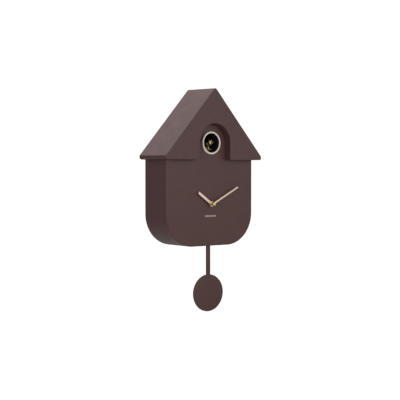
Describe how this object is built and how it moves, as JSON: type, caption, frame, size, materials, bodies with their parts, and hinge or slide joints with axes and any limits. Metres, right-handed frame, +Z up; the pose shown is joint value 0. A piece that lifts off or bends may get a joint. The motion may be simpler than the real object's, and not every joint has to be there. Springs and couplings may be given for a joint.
{
  "type": "cuckoo clock",
  "caption": "Wall clock with a gabled roof over a rounded body, a bird in a round opening, straight hands and a swinging pendulum with a round disc.",
  "frame": {"origin": "point on the wall plane where the nail carries the clock, behind the top of the keyhole slot in the back cover", "axes": "+X to the right seen from the front, front faces -Y, wall at y = 0, +Z up"},
  "size_m": [0.2184, 0.08, 0.4028],
  "materials": {
    "casing_plastic": "matte brown moulded plastic, fine texture",
    "cover_plastic": "dark brown moulded plastic",
    "black_plastic": "black moulded plastic",
    "ring_plastic": "champagne painted, satin",
    "bird_gold": "gold painted, satin",
    "perch_plastic": "grey-green plastic",
    "hand_metal": "rose gold anodised, brushed",
    "cap_metal": "yellow gold, satin",
    "steel": "bright",
    "dark_metal": "dark grey",
    "white_plastic": "natural white plastic",
    "amber_plastic": "amber plastic",
    "board": "green solder mask",
    "copper": "enamelled copper wire",
    "cell_label": "printed sleeve",
    "paper": "black paper",
    "rubber": "black rubber",
    "wire": "wire insulation",
    "grey_plastic": "grey plastic"
  },
  "bodies": {
    "casing": {"roof_shell": "casing_plastic", "body_shell": "casing_plastic", "back_cover": "cover_plastic", "cover_screw_1": "steel", "cover_screw_2": "steel", "cover_screw_3": "steel", "cover_screw_4": "steel", "battery_tray": "black_plastic", "battery_cell_1": "cell_label", "battery_cell_2": "cell_label", "battery_cell_3": "cell_label", "contact_negative": "steel", "contact_bridge_1": "steel", "contact_bridge_2": "steel", "contact_positive": "steel", "main_board": "board", "sound_chip": "black_plastic", "speaker_frame": "dark_metal", "speaker_cone": "paper", "speaker_magnet": "dark_metal", "bird_ring": "ring_plastic", "bird_tunnel": "black_plastic", "bird_frame": "black_plastic", "bird_motor": "steel", "movement_case": "black_plastic", "movement_cover": "black_plastic", "movement_nut": "steel", "movement_washer": "rubber", "movement_stator": "steel", "movement_coil": "copper", "movement_board": "board", "pendulum_drive_case": "black_plastic", "pendulum_pivot_pin": "steel", "pendulum_coil": "copper", "wiring_loom": "wire"},
    "battery_door": {"battery_door": "cover_plastic"},
    "bird": {"bird": "bird_gold", "bird_perch": "perch_plastic", "bird_carriage": "white_plastic"},
    "reduction_gear": {"reduction_gear": "white_plastic"},
    "motor_pinion": {"motor_pinion": "cap_metal"},
    "hour_hand": {"hour_wheel": "white_plastic", "hour_hand": "hand_metal"},
    "minute_hand": {"minute_arbor": "steel", "minute_hand": "hand_metal", "hand_cap": "cap_metal"},
    "minute_wheel": {"minute_wheel": "amber_plastic"},
    "setting_knob": {"setting_stem": "white_plastic", "setting_knob": "black_plastic"},
    "third_wheel": {"third_wheel": "white_plastic"},
    "second_wheel": {"second_wheel": "white_plastic"},
    "rotor": {"rotor": "dark_metal"},
    "centre_wheel": {"centre_wheel": "white_plastic"},
    "pendulum": {"pendulum_hanger": "white_plastic", "pendulum_magnet": "steel", "pendulum_rod": "casing_plastic", "pendulum_disc": "casing_plastic"},
    "volume_knob": {"volume_knob": "black_plastic"},
    "sound_switch": {"sound_switch": "grey_plastic"},
    "test_button": {"test_button": "black_plastic"}
  },
  "joints": [
    {"name": "minute_turn", "type": "hinge", "parent": "casing", "child": "minute_hand", "pos_m": [0, -0.0652, -0.1594], "axis": [0, 1, 0], "continuous": true},
    {"name": "hour_turn", "type": "hinge", "parent": "casing", "child": "hour_hand", "pos_m": [0, -0.0652, -0.1594], "axis": [0, 1, 0], "continuous": true},
    {"name": "minute_wheel_turn", "type": "hinge", "parent": "casing", "child": "minute_wheel", "pos_m": [0.012, -0.0652, -0.1594], "axis": [0, 1, 0], "continuous": true},
    {"name": "setting_turn", "type": "hinge", "parent": "casing", "child": "setting_knob", "pos_m": [0.018, -0.0652, -0.16979], "axis": [0, 1, 0], "continuous": true},
    {"name": "third_wheel_turn", "type": "hinge", "parent": "casing", "child": "third_wheel", "pos_m": [-0.01212, -0.0652, -0.1524], "axis": [0, 1, 0], "continuous": true},
    {"name": "second_wheel_turn", "type": "hinge", "parent": "casing", "child": "second_wheel", "pos_m": [-0.01421, -0.0652, -0.16422], "axis": [0, 1, 0], "continuous": true},
    {"name": "rotor_turn", "type": "hinge", "parent": "casing", "child": "rotor", "pos_m": [-0.00821, -0.0652, -0.17461], "axis": [0, 1, 0], "continuous": true},
    {"name": "centre_wheel_turn", "type": "hinge", "parent": "casing", "child": "centre_wheel", "pos_m": [0, -0.0652, -0.1594], "axis": [0, 1, 0], "continuous": true},
    {"name": "pendulum_swing", "type": "hinge", "parent": "casing", "child": "pendulum", "pos_m": [0, -0.05835, -0.194], "axis": [0, 1, 0], "range_deg": [-8, 8]},
    {"name": "bird_slide", "type": "slide", "parent": "casing", "child": "bird", "axis": [0, -1, 0], "range_m": [-0.006, 0.014]},
    {"name": "reduction_gear_turn", "type": "hinge", "parent": "casing", "child": "reduction_gear", "pos_m": [0, -0.0372, -0.0803], "axis": [1, 0, 0], "range_deg": [-86.94, 201.54]},
    {"name": "motor_turn", "type": "hinge", "parent": "casing", "child": "motor_pinion", "pos_m": [0, -0.0372, -0.09155], "axis": [1, 0, 0], "range_deg": [-803.14, 344.77]},
    {"name": "battery_door_slide", "type": "slide", "parent": "casing", "child": "battery_door", "axis": [0, 1, 0], "range_m": [0, 0.03]},
    {"name": "volume_turn", "type": "hinge", "parent": "casing", "child": "volume_knob", "pos_m": [0.066, -0.008, -0.098], "axis": [0, 1, 0], "range_deg": [-135, 135]},
    {"name": "sound_switch_slide", "type": "slide", "parent": "casing", "child": "sound_switch", "axis": [1, 0, 0], "range_m": [0, 0.005]},
    {"name": "test_button_press", "type": "slide", "parent": "casing", "child": "test_button", "axis": [0, -1, 0], "range_m": [0, 0.0012], "stiffness_N_per_m": 150}
  ],
  "couplings": [
    {"joint": "hour_turn", "follows": "minute_turn", "ratio": 0.083333},
    {"joint": "minute_wheel_turn", "follows": "minute_turn", "ratio": -0.33333},
    {"joint": "setting_turn", "follows": "minute_turn", "ratio": 1},
    {"joint": "second_wheel_turn", "follows": "third_wheel_turn", "ratio": -5},
    {"joint": "rotor_turn", "follows": "third_wheel_turn", "ratio": 25},
    {"joint": "centre_wheel_turn", "follows": "third_wheel_turn", "ratio": -0.16667},
    {"joint": "reduction_gear_turn", "follows": "bird_slide", "rad_per_m": 250},
    {"joint": "motor_turn", "follows": "bird_slide", "rad_per_m": -1000}
  ]
}
